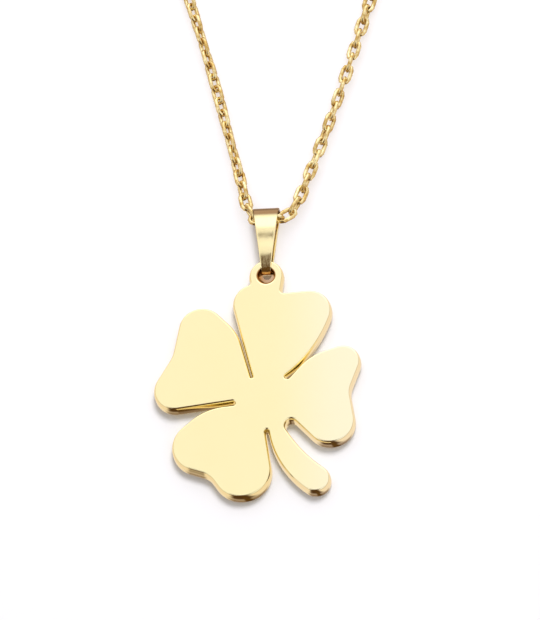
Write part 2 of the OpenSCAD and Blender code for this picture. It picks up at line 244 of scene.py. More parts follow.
class GoldLooks(bpy.types.PropertyGroup):
    """Colours and polish of the gold."""

    clover_light: shade("Clover light", (0.985, 0.875, 0.53), "Light gold of the clover's face")
    clover_deep: shade("Clover deep", (0.97, 0.85, 0.48), "Deeper gold in its clouding")
    # Painted shade: the brown of the wall of the ring's hole stands in for the shade that falls in it.
    clover_hole_painted_shade: shade("Clover hole", (0.50, 0.27, 0.10), "Colour of the wall of the ring's hole")
    # Painted reflection: the paler gold stands in for a brighter reflection towards the right leaf.
    clover_pale_reflection: shade("Clover pale", (0.99, 0.90, 0.64), "Paler gold towards the right leaf")
    bail_light: shade("Bail light", (0.98, 0.86, 0.52), "Light gold of the bail")
    bail_deep: shade("Bail deep", (0.95, 0.79, 0.42), "Deeper gold between its drawn lines")
    # Painted dark reflection: the brown gold of the top fold stands in for the dark that it mirrors.
    bail_fold_reflection: shade("Bail fold", (0.26, 0.155, 0.075), "Brown gold of the top fold")
    chain_light: shade("Chain light", (0.99, 0.86, 0.50), "Light gold of the links")
    # The deeper gold lies in random clouding of noise all over the links, not where they rub.
    chain_deep: shade("Chain deep", (0.62, 0.40, 0.12), "Deeper gold where the links rub")
    clasp_light: shade("Clasp light", (0.95, 0.77, 0.40), "Light gold of the clasp")
    clasp_deep: shade("Clasp deep", (0.85, 0.63, 0.27), "Deeper gold of the clasp")
    polish: amount("Polish", 0.11, "Roughness of the polished gold", max=1, subtype="FACTOR")


class StageLooks(bpy.types.PropertyGroup):
    """Camera, floor, surroundings and lamp."""

    camera_azimuth: angle("Camera azimuth", 13, "Turn of the camera to the right of the foot")
    camera_elevation: angle("Camera elevation", 65.14, "Height of the camera above the floor")
    camera_distance: length("Camera distance", 700, "Distance of the camera from the pendant")
    view_height: length("View height", 83.9, "Height of the picture at the pendant")
    floor_size: length("Floor size", 6000, "Side of the square floor")
    floor_colour: shade("Floor colour", (0.90, 0.89, 0.92), "Colour of the pale floor")
    sky_light: amount("Sky light", 0.76, "Strength of the light from all round")
    sky_mirrored: amount("Sky mirrored", 1.045, "Strength of the surroundings as the gold mirrors them")
    sky_bright: amount("Bright back", 1.6, "Strength of the bright zone at the back, over the white")
    sky_sides: shade("Sides", (0.52, 0.42, 0.30), "Colour near the horizon, but for the back")
    below: shade("Below", (0.90, 0.77, 0.64), "Colour below the horizon, seen through the floor")
    below_front: shade("Below, front", (0.42, 0.32, 0.26), "Colour below the horizon at the front")
    below_steep: shade("Steeply below", (0.28, 0.20, 0.16), "Colour far below the front, near the pendant")
    column: shade("Column", (0.08, 0.038, 0.014), "Colour of the dark column at the front")
    strip: shade("Strip", (0.10, 0.048, 0.012), "Colour of the dark strip that the bail mirrors")
    lamp_power: amount("Lamp power", 3.6, "Power of the soft lamp", unit="POWER")
    lamp_size: length("Lamp size", 320, "Diameter of the soft lamp")


# Meshes


def ring_grid(rows, columns, start=0, wrap=False):
    """Quads of a grid whose columns close into a ring, and whose rows do too where wrap is set.

    The quad of row i and column j joins the points (i, j), (i, j+1), (i+1, j+1) and (i+1, j)."""
    i = np.arange(rows if wrap else rows - 1)[:, None]
    j = np.arange(columns)[None, :]
    after_i, after_j = (i + 1) % rows, (j + 1) % columns
    corners = [i * columns + j, i * columns + after_j, after_i * columns + after_j, after_i * columns + j]
    return start + np.stack(np.broadcast_arrays(*corners), axis=-1).reshape(-1, 4)


def make_piece(name, points, faces, material, slot, *nodes):
    """A smooth mesh object at the origin that rides on the body and replaces the CAD nodes."""
    mesh = bpy.data.meshes.new(name)
    mesh.from_pydata(np.asarray(points).reshape(-1, 3).tolist(), [], faces)
    mesh.polygons.foreach_set("use_smooth", np.ones(len(mesh.polygons), bool))
    mesh.update()
    mesh.materials.append(material)
    piece = bpy.data.objects.new(name, mesh)
    bpy.context.scene.collection.objects.link(piece)
    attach(piece, "root")
    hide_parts(*nodes)
    return piece


def blend(a, b, radius):
    """A circle that touches two others, each as x, y and radius, on the way from a to b.

    Its centre is as far from each of theirs as the radii differ. It lies on the right of the way
    for a hollow, with a radius below zero, and on the left for a bulge."""
    ahead = b[:2] - a[:2]
    distance = np.hypot(*ahead)
    from_a, from_b = abs(radius - a[2]) + BLEND_HAIR, abs(radius - b[2]) + BLEND_HAIR
    along = (from_a**2 - from_b**2 + distance**2) / (2 * distance)
    beside = -math.copysign(math.sqrt(from_a**2 - along**2), radius)
    x, y = a[:2] + (ahead * along + np.array([ahead[1], -ahead[0]]) * beside) / distance
    return np.array([x, y, radius])


def outline_circles(sizes):
    """The circles of the outline, as rows of x, y and radius."""
    reach = {"leaf": sizes.leaf_reach, "hub": sizes.hub_reach, "ring": sizes.ring_r}
    reach["stem"] = reach["stem end"] = sizes.stem_reach
    circles = []
    for row in OUTLINE:
        if row[0] == "blend":
            circles.append(None)
            continue
        kind, degrees, away, radius = row
        turn = math.radians(degrees)
        circle = np.array([math.cos(turn) * away, math.sin(turn) * away, radius]) * reach[kind]
        if kind == "ring":
            circle[1] += sizes.leaf_reach + sizes.ring_gap
        if kind == "stem end":
            circle[2] = sizes.stem_end_r
        circles.append(circle)
    for i, row in enumerate(OUTLINE):
        if row[0] == "blend":
            circles[i] = blend(circles[i - 1], circles[i + 1], row[2] * reach[row[1]])
    return np.array(circles)


def outline_points(sizes):
    """The clover's outline, anticlockwise, as points and outward normals in the plane.

    It runs round circles and straight from one to the next. A straight heads from centre to
    centre, turned by the arcsine of the difference of the radii over the distance of the centres.
    A point of an arc is the centre plus the radius times (sine, minus cosine) of its heading."""
    circles = outline_circles(sizes)
    centre, radius = circles[:, :2], circles[:, 2]
    ahead = np.roll(centre, -1, axis=0) - centre
    lean = np.arcsin(np.clip((radius - np.roll(radius, -1)) / np.hypot(*ahead.T), -1, 1))
    leaves = np.arctan2(ahead[:, 1], ahead[:, 0]) + lean
    starts = np.roll(leaves, 1)
    sweep = (leaves - starts) % math.tau
    sweep = np.where(radius > 0, sweep, sweep - math.tau)
    steps = np.maximum(2, np.ceil(np.abs(sweep * radius) / sizes.outline_step)).astype(int)
    steps = np.maximum(steps, np.ceil(np.abs(sweep) / OUTLINE_TURN).astype(int))
    share = np.concatenate([np.arange(n + 1) / n for n in steps])
    circle = np.repeat(np.arange(len(steps)), steps + 1)
    heading = starts[circle] + sweep[circle] * share
    normal = np.stack([np.sin(heading), -np.cos(heading)], axis=1)
    return centre[circle] + radius[circle, None] * normal, normal


def edge_profile(sizes, w, h, burr):
    """Profile of the plate's edge from its back to its face, as inset and height.

    It is a quarter circle up to the wall and a quarter of an ellipse, w wide and h high, from the
    wall to the face, with a short flat stretch beyond each, so that the face stays flat in the
    smooth shading. The wall stands out by the burr."""
    a = np.linspace(0, math.pi / 2, EDGE_STEPS + 1)
    r, top, flat = sizes.edge_r, sizes.plate_t, 0.05 * MM
    inset = np.concatenate([[r + flat], r * (1 - np.sin(a)), w * (1 - np.cos(a)), [w + flat]]) - burr
    height = np.concatenate([[0], r * (1 - np.cos(a)), top - h * (1 - np.sin(a)), [top]])
    return inset, height


def fill_between(outer, hole):
    """Triangles that fill a closed line with a hole in it, all turned anticlockwise."""
    loops = [[Vector((x, y, 0)) for x, y in line] for line in (outer, hole)]
    corners = np.array(tessellate_polygon(loops))
    p = np.concatenate([outer, hole])[corners]
    a, b = p[:, 1] - p[:, 0], p[:, 2] - p[:, 0]
    area = a[:, 0] * b[:, 1] - a[:, 1] * b[:, 0]
    corners[area < 0] = corners[area < 0][:, ::-1]
    return corners


def bail_measures(scene):
    """The bail's inner and outer bend radius and the place of its foot bend, with the ring's place.

    The ring hangs a share of the way from the foot bend's outside against the front of the hole
    to its inside against the back, where the reach allows for the rounding of the hole's edge."""
    pendant, bail, chain = scene.pendant_sizes, scene.bail_sizes, scene.chain_sizes
    inner = max(pendant.plate_t, chain.link_w) / 2 + bail.play
    outer = inner + bail.strap_t
    foot = -(bail.bail_l - 2 * outer)
    chord = math.sqrt(pendant.ring_hole_r**2 - (bail.foot_w / 2) ** 2)
    reach = pendant.edge_r + math.sqrt(REST_GAP * (2 * (inner - pendant.edge_r) - REST_GAP))
    up, down = chord - outer, -chord - reach
    return inner, outer, foot, foot + up + (down - up) * HANG


class PENDANT_OT_clover(bpy.types.Operator):
    """Clover plate with its ring: an edge profile carried along the outline and round the hole."""

    bl_idname = "pendant.clover"
    bl_label = "Clover"

    def execute(self, context):
        """The plate's points are the outline's points less the profile's inset along the normal.
        The hole's circles get smaller towards the plate's back, and are moved by as much along Y,
        so that the wall on the bail's side stays upright.

        The plate then turns about its foot edge until its ring lies on the lower strap."""
        sizes, bail = context.scene.pendant_sizes, context.scene.bail_sizes
        line, normal = outline_points(sizes)
        inset, height = edge_profile(sizes, sizes.edge_w, sizes.edge_h, sizes.burr)
        rows, columns = len(inset), len(line)
        wall = line[None] - normal[None] * inset[:, None, None]
        wall = np.dstack([wall, np.broadcast_to(height[:, None], (rows, columns))])
        turn = np.linspace(0, math.tau, HOLE_POINTS, endpoint=False)
        round_turn = np.stack([np.cos(turn), np.sin(turn)], axis=1)
        inset, height = edge_profile(sizes, sizes.edge_r, sizes.edge_r, 0)
        narrow = sizes.hole_taper * (1 - height / sizes.plate_t)
        hole = (sizes.ring_hole_r + inset - narrow)[:, None, None] * round_turn[None]
        ring_reach = sizes.leaf_reach + sizes.ring_gap
        hole[:, :, 1] += ring_reach + narrow[:, None]
        hole = np.dstack([hole, np.broadcast_to(height[:, None], (rows, HOLE_POINTS))])

        hole_start = rows * columns
        cap = fill_between(wall[-1, :, :2], hole[-1, :, :2])
        in_hole = cap >= columns
        back = np.where(in_hole, cap - columns + hole_start, cap)
        face = back + np.where(in_hole, (rows - 1) * HOLE_POINTS, (rows - 1) * columns)
        faces = ring_grid(rows, columns).tolist()
        faces += ring_grid(rows, HOLE_POINTS, hole_start)[:, ::-1].tolist()
        faces += back[:, ::-1].tolist() + face.tolist()

        _, _, foot, ring_y = bail_measures(context.scene)
        middle = ring_y - ring_reach
        foot_edge = line[:, 1].min() + sizes.edge_r
        tilt = math.asin((bail.strap_t + REST_GAP) / (foot - (middle + foot_edge)))
        points = np.concatenate([wall.reshape(-1, 3), hole.reshape(-1, 3)]) - [0, foot_edge, 0]
        c, s = math.cos(tilt), math.sin(tilt)
        lean = np.array([[1, 0, 0], [0, c, -s], [0, s, c]])
        points = points @ lean.T + [0, middle + foot_edge, 0]
        make_piece("clover_plate", points, faces, polished_clover(context), "clover_gold", "clover")
        return {"FINISHED"}


class PENDANT_OT_bail(bpy.types.Operator):
    """Folded strap: a flat section with rounded edges carried round a long, tapered loop."""

    bl_idname = "pendant.bail"
    bl_label = "Bail"

    def execute(self, context):
        """Along the loop the middle of the strap lies on two half circles and the straights between.

        The half width grows in a straight line from the foot to the top. A point of the section is
        the middle plus its share of the half width across and of the half thickness outwards."""
        bail = context.scene.bail_sizes
        inner, outer, foot, _ = bail_measures(context.scene)
        middle = (inner + outer) / 2
        bend = np.linspace(0, math.pi, BEND_POINTS + 2)[1:-1]
        straight = np.linspace(0, 1, STRAIGHT_POINTS)
        one, none = np.ones(STRAIGHT_POINTS), np.zeros(STRAIGHT_POINTS)
        side = np.concatenate([none, -np.sin(bend), none, np.sin(bend)])
        rise = np.concatenate([one, np.cos(bend), -one, -np.cos(bend)])
        along = np.concatenate([foot * straight, foot + 0 * bend, foot * straight[::-1], 0 * bend])
        along = along + middle * side
        up = middle * rise
        share = (along - (foot - outer)) / bail.bail_l
        half_w = (bail.foot_w + (bail.top_w - bail.foot_w) * share) / 2

        quarter = np.linspace(0, math.pi / 2, CORNER_POINTS)
        right, flat = np.ones(CORNER_POINTS), np.linspace(1, -1, FLAT_POINTS + 2)[1:-1]
        across = np.concatenate([right, flat, -right, -right, flat[::-1], right])
        level = np.repeat([1.0, -1.0], 2 * CORNER_POINTS + FLAT_POINTS)
        upper = np.concatenate([quarter, np.full(FLAT_POINTS, math.pi / 2), quarter + math.pi / 2])
        corner = np.concatenate([upper, upper + math.pi])
        r = bail.corner_r
        x = across[None] * (half_w - r)[:, None] + r * np.cos(corner)[None]
        out = level * (bail.strap_t / 2 - r) + r * np.sin(corner)
        outside = out / bail.strap_t + 0.5
        out = out[None] - self.hollow(bail, foot, straight, bend * middle)[:, None] * outside[None]
        y = along[:, None] + side[:, None] * out
        z = outer + up[:, None] + rise[:, None] * out
        points = np.stack([x, y, z], axis=-1)
        faces = ring_grid(points.shape[0], points.shape[1], wrap=True)
        make_piece("bail_strap", points, faces.tolist(), drawn_bail(context), "bail_gold", "bail")
        return {"FINISHED"}

    def hollow(self, bail, foot, straight, bent):
        """How far the outer face lies below an even one, along the loop.

        The upper strap crowns once near the fold, as a smooth rise and fall, and thins towards its
        foot: from the square of the way over the run-out at first, and then straight. The thinning
        ends as a parabola round the foot bend, and is made good along the lower strap."""
        run_out = bail.run_out
        slope = bail.foot_thin / (-foot - bail.foot_from)
        y = -foot * straight
        past = y - bail.foot_from
        soft = np.clip(past, -run_out, run_out) + run_out
        upper = slope * (soft**2 / (4 * run_out) + np.maximum(past - run_out, 0))
        upper = upper + bail.crown_t * (1 - ramp(1 - np.abs(y - bail.crown_y) / bail.crown_l))
        over = np.minimum(bent, run_out)
        round_foot = bail.foot_thin + bail.crown_t + slope * (over - over**2 / (2 * run_out))
        lower = round_foot[-1] * (1 - ramp(straight * 2))
        return np.concatenate([upper, round_foot, lower, upper[0] * ramp(1 - bent / bent[-1])[::-1]])


def ramp(t):
    """Smooth step from 0 to 1: three t squared less two t cubed."""
    t = np.clip(t, 0, 1)
    return t * t * (3 - 2 * t)


class ChainLay:
    """Where the links lie: places along the closed route, with the height and the twist there."""

    def __init__(self, scene):
        """Sizes in metres, and the route as a curve with its length up to each sample."""
        chain = scene.chain_sizes
        self.sizes = chain
        self.pitch = chain.link_l - 2 * chain.wire_d - chain.link_play
        self.bend_r = (chain.link_w - chain.wire_d) / 2
        self.clasp_r = (chain.clasp_d - chain.clasp_tube_d) / 2
        self.eye_r = (chain.eye_d - chain.ring_wire_d) / 2
        self.ring_r = (chain.end_ring_d - chain.ring_wire_d) / 2
        grip = (chain.ring_wire_d + chain.link_play) / 2
        held = (chain.clasp_tube_d + chain.ring_wire_d) / 2 + chain.link_play
        self.eye_u = self.eye_r - grip
        self.clasp_u = self.eye_u + self.eye_r + self.clasp_r
        self.ring_u = self.clasp_u + self.clasp_r - held + self.ring_r
        self.closing_l = self.ring_u + self.ring_r - grip
        self.links = math.floor((chain.necklace_l - self.closing_l) / self.pitch / 2 + 1e-6)
        self.loop_l = 2 * self.links * self.pitch + self.closing_l
        self.curve = self.route_curve()
        steps = np.linalg.norm(np.roll(self.curve, -1, axis=0) - self.curve, axis=1)
        self.run = np.concatenate([[0], np.cumsum(steps)])
        self.bail_z = bail_measures(scene)[1]
        self.closing_z = self.lying_z(0)
        self.end_ring_z = self.ring_r * math.sin(chain.end_ring_roll) + chain.ring_wire_d / 2

    def route_curve(self):
        """Hermite curve through the route's points, with a slope from both neighbours.

        A slope is the chord behind times the length ahead over the length behind, plus the chord
        ahead the other way round, over both lengths together."""
        p = ROUTE * MM
        after = np.roll(p, -1, axis=0)
        ahead = after - p
        back = np.roll(ahead, 1, axis=0)
        la, lb = (np.linalg.norm(v, axis=1, keepdims=True) for v in (ahead, back))
        slope = (back * la / lb + ahead * lb / la) / (la + lb)
        t = (np.arange(ROUTE_STEPS) / ROUTE_STEPS)[None, :, None]
        start, end = slope[:, None] * la[:, None], np.roll(slope, -1, axis=0)[:, None] * la[:, None]
        curve = p[:, None] * (2 * t**3 - 3 * t**2 + 1) + start * (t**3 - 2 * t**2 + t)
        curve = curve + after[:, None] * (3 * t**2 - 2 * t**3) + end * (t**3 - t**2)
        return curve.reshape(-1, 2)

    def on_route(self, s):
        """The place s metres from the bail round the left, with the route stretched to the loop."""
        t = (s / self.loop_l) % 1 * self.run[-1]
        closed = np.vstack([self.curve, self.curve[:1]])
        at = np.stack([np.interp(t, self.run, closed[:, i]) for i in (0, 1)], axis=-1)
        return at * self.loop_l / self.run[-1]

    def lying_z(self, twist):
        """Height of the chain's middle on the surface, with the links twisted."""
        steepest = np.maximum(np.abs(np.sin(twist)), np.abs(np.cos(twist)))
        return self.bend_r * steepest + self.sizes.wire_d / 2

    def twist(self, side, k):
        """None at the bail, then the run's own, and over the back half on to the roll at the closing."""
        run = self.sizes.left_twist if side > 0 else 0
        first = 0 if side > 0 else math.pi / 2
        last = math.pi / 2 if side > 0 else math.pi / 2 - self.sizes.end_ring_roll
        last = last - first - math.pi / 2 * (self.links - 1)
        half_turns = (last - run) / math.pi
        end = last - math.pi * math.copysign(math.floor(abs(half_turns) + 0.5), half_turns)
        back = np.maximum(0, 2 * (k + 1) / self.links - 1)
        at_start = run * np.minimum(1, k / TWIST_LINKS)
        return at_start + (end - at_start) * back

    def place(self, side, k, lift=0.0):
        """The place on the chain, k links from the bail, on the left (side 1) or the right (-1).

        The lift raises it off the surface, but not at the bail."""
        k = np.asarray(k, float)
        shift = side * np.where(k % 2 == 0, 1, -1) * (self.sizes.wire_d + self.sizes.link_play) / 2
        shift = shift * np.maximum(0, 1 - k / HINGE_LINKS)
        p = self.on_route(CHAIN_SHIFT + side * (k * self.pitch + shift))
        low = self.lying_z(self.twist(side, k)) + lift
        at_bail = ramp(1 - (k - BAIL_LINKS) / RISE_LINKS)
        at_closing = ramp(1 - (self.links - k) / RISE_LINKS)
        held = self.closing_z + lift
        if side < 0:
            held = held + (self.end_ring_z - self.closing_z) * self.closing_l / self.ring_u
        z = low + (self.bail_z - low) * at_bail + (held - low) * at_closing
        return np.concatenate([p, z[..., None]], axis=-1)


def axes_between(a, b, roll):
    """Middle and axes of pieces set from a to b: along, across and up, rolled about the line."""
    d = (b - a) / np.linalg.norm(b - a, axis=-1, keepdims=True)
    across = np.stack([-d[..., 1], d[..., 0], np.zeros(d.shape[:-1])], axis=-1)
    across = across / np.linalg.norm(across, axis=-1, keepdims=True)
    up = np.cross(d, across)
    c, s = np.cos(roll)[..., None], np.sin(roll)[..., None]
    return (a + b) / 2, np.stack([d, across * c + up * s, up * c - across * s], axis=-2)


def tube(path, out, up, radius, sides):
    """A closed tube: round each point of the path, radius times the cosine along its outward
    direction plus the sine along up."""
    a = np.linspace(0, math.tau, sides, endpoint=False)
    ring = out[:, None] * np.cos(a)[None, :, None] + up * np.sin(a)[None, :, None]
    return path[:, None] + radius * ring


def oval_link(lay):
    """One link, flat, with its length along X: a tube along two half circles joined by soft sides.

    The path is widened by a share of one less the square of its place along the link. It is longer
    by the plating, so that the inner ends stay where the solid's are."""
    chain = lay.sizes
    a = np.linspace(-math.pi / 2, math.pi / 2, LINK_END_POINTS)
    end = np.stack([np.cos(a), np.sin(a)], axis=1)
    out = np.concatenate([end, [[0, 1]], -end, [[0, -1]]])
    half = (chain.link_l - chain.link_w + chain.plated_d - chain.wire_d) / 2
    shift = np.repeat([1, 0, -1, 0], [LINK_END_POINTS, 1, LINK_END_POINTS, 1]) * half
    path = out * lay.bend_r + np.stack([shift, np.zeros(len(shift))], axis=1)
    path[:, 1] *= 1 + chain.belly * (1 - (path[:, 0] / path[:, 0].max()) ** 2)
    level = np.zeros((len(shift), 1))
    path, out = np.hstack([path, level]), np.hstack([out, level])
    return tube(path, out, np.array(UP), chain.plated_d / 2, LINK_SIDES)


def round_ring(radius, wire_d, around, sides):
    """A ring in the plane of X and Y: a tube along a circle."""
    a = np.linspace(0, math.tau, around, endpoint=False)
    out = np.stack([np.cos(a), np.sin(a), np.zeros(around)], axis=1)
    return tube(out * radius, out, np.array(UP), wire_d / 2, sides)


class PENDANT_OT_chain(bpy.types.Operator):
    """Both halves of the chain: one oval link set between each two places along the route."""

    bl_idname = "pendant.chain"
    bl_label = "Chain"

    def execute(self, context):
        """Each link is the same small tube grid, turned by its own axes, with a roll of a quarter
        turn more than the link before it plus the twist of the run and a little unrest, which is a
        sine of the link's number. The swell of the link lifts it off the surface.

        The links hold back no light of the lamp, because the floor beside them stays white."""
        lay = ChainLay(context.scene)
        link = oval_link(lay)
        swell = lay.bend_r * lay.sizes.belly + (lay.sizes.plated_d - lay.sizes.wire_d) / 2
        material = clouded_chain(context)
        for side, name in ((1, "chain_left"), (-1, "chain_right")):
            k = np.arange(lay.links)
            roll = (0 if side > 0 else math.pi / 2) + math.pi / 2 * k + lay.twist(side, k)
            unrest = np.sin(UNREST_STEP * k + UNREST_SHIFT * side) * np.minimum(1, k / UNREST_LINKS)
            roll = roll + lay.sizes.unrest * unrest
            if side < 0:
                stretch = ramp((k - ROLLED_FROM) / ROLLED_EASE) * ramp((ROLLED_TO - k) / ROLLED_EASE)
                roll = roll + lay.sizes.rolled * stretch
            start, end = lay.place(side, k, swell), lay.place(side, k + 1, swell)
            middle, axes = axes_between(start, end, roll)
            points = middle[:, None, None] + np.einsum("ijc,kcd->kijd", link, axes)
            rows, columns = link.shape[:2]
            quads = ring_grid(rows, columns, wrap=True)
            faces = (quads[None] + (k * rows * columns)[:, None, None]).reshape(-1, 4)
            links = make_piece(f"{name}_links", points, faces.tolist(), material, "chain_gold", name)
            links.visible_shadow = False
        return {"FINISHED"}


class PENDANT_OT_clasp(bpy.types.Operator):
    """Ring clasp with its eye and thumb piece, and the end ring that it holds."""

    bl_idname = "pendant.clasp"
    bl_label = "Clasp and end ring"

    def execute(self, context):
        """The rings are tubes along circles. The thumb piece is a stem with a round head, a profile
        of radius against height turned about its axis."""
        lay = ChainLay(context.scene)
        chain = lay.sizes
        a, b = lay.place(1, [lay.links])[0], lay.place(-1, [lay.links])[0]
        material = polished_clasp(context)

        def on_closing(local, u, roll):
            """Sets a shape on the line of the closing, u metres along it."""
            middle, axes = axes_between(a, b, np.array(roll))
            return middle + (local + [u - lay.closing_l / 2, 0, 0]) @ axes

        body = round_ring(lay.clasp_r, chain.clasp_tube_d, 64, 20)
        eye = round_ring(lay.eye_r, chain.ring_wire_d, 40, 14)
        height = np.array(THUMB_HEIGHT) * chain.clasp_tube_d
        radius = np.array(THUMB_RADIUS) * chain.clasp_tube_d / 4
        turn = np.linspace(0, math.tau, THUMB_POINTS, endpoint=False)
        level = np.broadcast_to(height[:, None], (len(height), THUMB_POINTS))
        head = np.stack([radius[:, None] * np.cos(turn), radius[:, None] * np.sin(turn), level], axis=-1)
        c, s = math.cos(THUMB_ANGLE), math.sin(THUMB_ANGLE)
        stand = np.array([[0, 0, -1.0], [-s, c, 0], [c, s, 0]])
        head = (head + [0, 0, lay.clasp_r]) @ stand
        parts = [(on_closing(body, lay.clasp_u, 0), True), (on_closing(eye, lay.eye_u, 0), True)]
        parts.append((on_closing(head, lay.clasp_u, 0), False))
        points, faces, start = [], [], 0
        for part, wrap in parts:
            rows, columns = part.shape[:2]
            faces += ring_grid(rows, columns, start, wrap).tolist()
            if not wrap:
                faces.append([start + j for j in range(columns)][::-1])
                faces.append([start + (rows - 1) * columns + j for j in range(columns)])
            points.append(part.reshape(-1, 3))
            start += rows * columns
        make_piece("clasp_body", np.concatenate(points), faces, material, "clasp_gold", "clasp")

        ring = round_ring(lay.ring_r, chain.ring_wire_d, 56, 14)
        ring = on_closing(ring, lay.ring_u, chain.end_ring_roll)
        faces = ring_grid(ring.shape[0], ring.shape[1], wrap=True)
        make_piece("end_ring_wire", ring, faces.tolist(), material, "clasp_gold", "end_ring")
        return {"FINISHED"}


# Materials


class Nodes:
    """A short hand for a node tree: add a node with its settings, mix colours and step values."""

    def __init__(self, tree):
        self.tree = tree
        tree.nodes.clear()

    def add(self, kind, inputs=None, **settings):
        """A node of that kind; inputs are values, or sockets to join to."""
        node = self.tree.nodes.new(kind)
        for key, value in settings.items():
            setattr(node, key, value)
        for key, value in (inputs or {}).items():
            if isinstance(value, bpy.types.NodeSocket):
                self.tree.links.new(value, node.inputs[key])
            else:
                node.inputs[key].default_value = value
        return node

    def mixed(self, factor, a, b):
        """Colour a where the factor is 0 and b where it is 1; each is a colour or a socket."""
        a, b = (c if isinstance(c, bpy.types.NodeSocket) else (*c, 1) for c in (a, b))
        return self.add("ShaderNodeMix", {0: factor, 6: a, 7: b}, data_type="RGBA").outputs[2]

    def smooth_step(self, value, low, high):
        """0 up to the low value and 1 from the high one on, with a smooth step between."""
        return self.add(
            "ShaderNodeMapRange", {"Value": value, "From Min": low, "From Max": high},
            interpolation_type="SMOOTHSTEP",
        ).outputs[0]


def gold(name, light, deep, polish, grain, grain_scale, cloud_scale, spread=0.5, tone=None, pit=None):
    """Polished gold plating: clouded colour, fine lines of polishing and a soft waviness.

    The lines are noise stretched along one way, the clouding is broad noise, and both read the object's
    own coordinates. A smaller spread makes the clouding sharper. A tone paints a reflection or shade into
    the colour: it is an axis, two places on it and a colour, and the colour comes in as a smooth step from
    the first to the second. A pit paints shade: it is a centre, a radius, the width of its rim and the
    colour inside it, as seen from above."""
    material = bpy.data.materials.new(name)
    material.use_nodes = True
    n = Nodes(material.node_tree)
    where = n.add("ShaderNodeTexCoord").outputs["Object"]
    cloud = n.add("ShaderNodeTexNoise", {
        "Vector": where, "Scale": cloud_scale, "Detail": 4.0, "Roughness": 0.55
    })
    cloud = n.add("ShaderNodeMapRange", {
        "Value": cloud.outputs["Fac"], "From Min": 0.5 - spread, "From Max": 0.5 + spread
    })
    colour = n.mixed(cloud.outputs[0], deep, light)
    # A tone paints a reflection or shade along an axis.
    if tone:
        axis, start, end, toned = tone
        place = n.add("ShaderNodeSeparateXYZ", {"Vector": where}).outputs[axis]
        colour = n.mixed(n.smooth_step(place, start, end), colour, toned)
    # A pit paints shade inside a circle.
    if pit:
        centre, radius, rim, dark = pit
        level = n.add("ShaderNodeVectorMath", {0: where, 1: (1.0, 1.0, 0.0)}, operation="MULTIPLY")
        away = n.add("ShaderNodeVectorMath", {0: level.outputs[0], 1: centre}, operation="DISTANCE")
        colour = n.mixed(n.smooth_step(away.outputs["Value"], radius + rim, radius), colour, dark)
    stretched = n.add("ShaderNodeMapping", {"Vector": where, "Scale": grain_scale})
    lines = n.add("ShaderNodeTexNoise", {
        "Vector": stretched.outputs[0], "Scale": 1.0, "Detail": 6.0, "Roughness": 0.6
    })
    rough = n.add("ShaderNodeMapRange", {
        "Value": lines.outputs["Fac"], "From Min": 0.3, "From Max": 0.7,
        "To Min": polish * 0.7, "To Max": polish * 1.5,
    })
    wave = n.add("ShaderNodeTexNoise", {"Vector": where, "Scale": cloud_scale * 2.2, "Detail": 2.0})
    soft = n.add("ShaderNodeBump", {
        "Height": wave.outputs["Fac"], "Strength": 1.0, "Distance": WAVE_DEPTH
    })
    fine = n.add("ShaderNodeBump", {
        "Height": lines.outputs["Fac"], "Normal": soft.outputs[0], "Strength": 1.0, "Distance": grain
    })
    shader = n.add("ShaderNodeBsdfPrincipled", {
        "Base Color": colour, "Metallic": 1.0, "Roughness": rough.outputs[0], "Normal": fine.outputs[0]
    })
    n.add("ShaderNodeOutputMaterial", {"Surface": shader.outputs[0]})
    return material


def polished_clover(context):
    """Mirror polished plate with hair lines of the polishing wheel, with a painted reflection that pales
    it to the right and painted shade, brown, in the ring's hole."""
    looks = context.scene.gold_looks
    ring_y = bail_measures(context.scene)[3]
    hole_r = context.scene.pendant_sizes.ring_hole_r + HOLE_REACH
    return gold(
        "polished_clover", looks.clover_light, looks.clover_deep, looks.polish,
        grain=0.0004 * MM, grain_scale=(2200, 9000, 2200), cloud_scale=90,
        # Painted reflection: paler gold towards the right leaf.
        tone=("X", PALE_REFLECTION_FROM, PALE_REFLECTION_TO, looks.clover_pale_reflection),
        # Painted shade: brown in the ring's hole.
        pit=((0, ring_y, 0), hole_r, HOLE_RIM, looks.clover_hole_painted_shade),
    )


def drawn_bail(context):
    """Strap with faint lines along its length, from the drawing of the strip, and a painted dark
    reflection, brown, on its fold.
    """
    looks = context.scene.gold_looks
    return gold(
        "drawn_bail", looks.bail_light, looks.bail_deep, looks.polish * 1.2,
        grain=0.0008 * MM, grain_scale=(9000, 500, 9000), cloud_scale=260,
        # Painted dark reflection: brown gold on the top fold.
        tone=("Y", FOLD_REFLECTION_FROM, FOLD_REFLECTION_TO, looks.bail_fold_reflection),
    )


def clouded_chain(context):
    """Wire of the links, a little deeper in colour and less even."""
    looks = context.scene.gold_looks
    return gold(
        "clouded_chain", looks.chain_light, looks.chain_deep, looks.polish * 1.2,
        grain=0.001 * MM, grain_scale=(4000, 4000, 4000), cloud_scale=1100, spread=0.13,
    )


def polished_clasp(context):
    """Tube of the clasp and wire of the end ring."""
    looks = context.scene.gold_looks
    return gold(
        "polished_clasp", looks.clasp_light, looks.clasp_deep, looks.polish * 1.3,
        grain=0.0008 * MM, grain_scale=(3500, 3500, 3500), cloud_scale=320,
    )


# Stage


def camera_direction(looks):
    """From the pendant to the camera, as a unit vector."""
    a, e = looks.camera_azimuth, looks.camera_elevation
    return Vector((math.sin(a) * math.cos(e), -math.cos(a) * math.cos(e), math.sin(e)))


